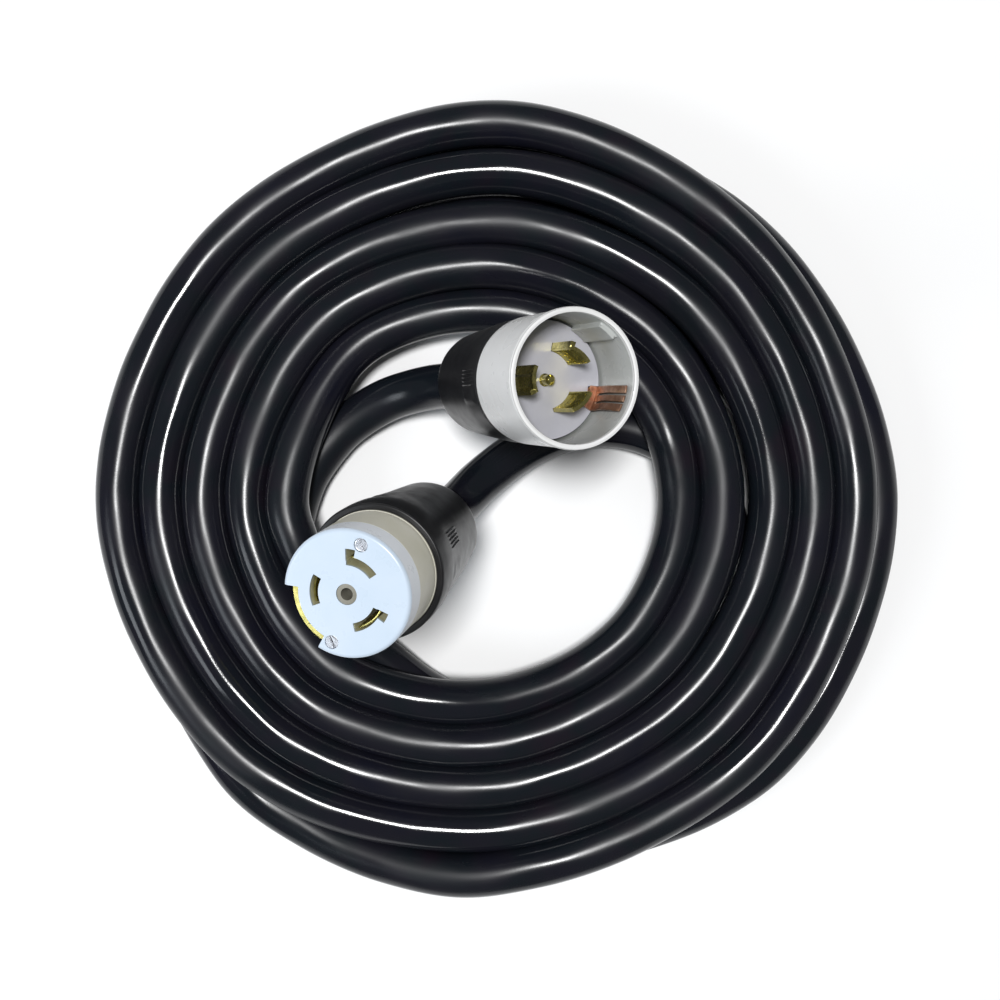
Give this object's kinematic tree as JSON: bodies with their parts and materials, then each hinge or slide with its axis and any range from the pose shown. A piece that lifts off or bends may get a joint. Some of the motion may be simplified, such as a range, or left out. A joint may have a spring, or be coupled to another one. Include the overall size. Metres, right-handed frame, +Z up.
{
  "type": "shore power cord",
  "caption": "Heavy black round power cord in a flat round coil, with a locking plug and a locking connector standing up inside the coil.",
  "frame": {"origin": "centre of the coil, on the surface that it lies on", "axes": "+Z up, along the coil's axis; the plug leans towards +X; +X right and +Y away as seen from the front"},
  "size_m": [0.394, 0.394, 0.1841],
  "materials": {
    "cord_jacket": "smooth, glossy",
    "cover_black": "moulded, satin, with grip ridges",
    "relief_rubber": "satin",
    "screw_steel": "zinc plated",
    "clamp_steel": "stamped",
    "shroud_white": "semi-gloss",
    "base_dark": "moulded",
    "face_grey": "semi-gloss",
    "brass": "dull, handled",
    "copper": "bright copper alloy spring strip",
    "nose_beige": "semi-gloss",
    "cap_white": "semi-gloss",
    "hub_grey": "slightly translucent",
    "insulation_black": "smooth",
    "insulation_red": "smooth",
    "insulation_white": "smooth",
    "insulation_green": "smooth"
  },
  "bodies": {
    "cord_set": {"cord_coil": "cord_jacket", "cord_plug_tail": "cord_jacket", "cord_connector_tail": "cord_jacket", "plug_cover": "cover_black", "plug_grommet": "relief_rubber", "plug_cord_clamp": "clamp_steel", "plug_clamp_screws": "screw_steel", "plug_assembly_screws": "screw_steel", "plug_shroud": "shroud_white", "plug_base": "base_dark", "plug_face": "face_grey", "plug_blade_x": "brass", "plug_blade_y": "brass", "plug_blade_neutral": "brass", "plug_centre_pin": "brass", "plug_ground_terminal": "copper", "plug_terminal_screws": "screw_steel", "plug_wire_black": "insulation_black", "plug_wire_red": "insulation_red", "plug_wire_white": "insulation_white", "plug_wire_green": "insulation_green", "connector_cover": "cover_black", "connector_grommet": "relief_rubber", "connector_cord_clamp": "clamp_steel", "connector_clamp_screws": "screw_steel", "connector_assembly_screws": "screw_steel", "connector_nose": "nose_beige", "connector_face": "cap_white", "connector_hub": "hub_grey", "connector_contact_x": "brass", "connector_contact_y": "brass", "connector_contact_neutral": "brass", "connector_ground_band": "brass", "connector_terminal_screws": "screw_steel", "connector_wire_black": "insulation_black", "connector_wire_red": "insulation_red", "connector_wire_white": "insulation_white", "connector_wire_green": "insulation_green"},
    "ground_clip": {"plug_ground_clip": "copper"}
  },
  "joints": [
    {"name": "ground_clip_spring", "type": "slide", "parent": "cord_set", "child": "ground_clip", "axis": [0.8735, -0.2953, -0.3869], "range_m": [0, 0.0007], "stiffness_N_per_m": 4000, "springref_m": -0.0005}
  ]
}
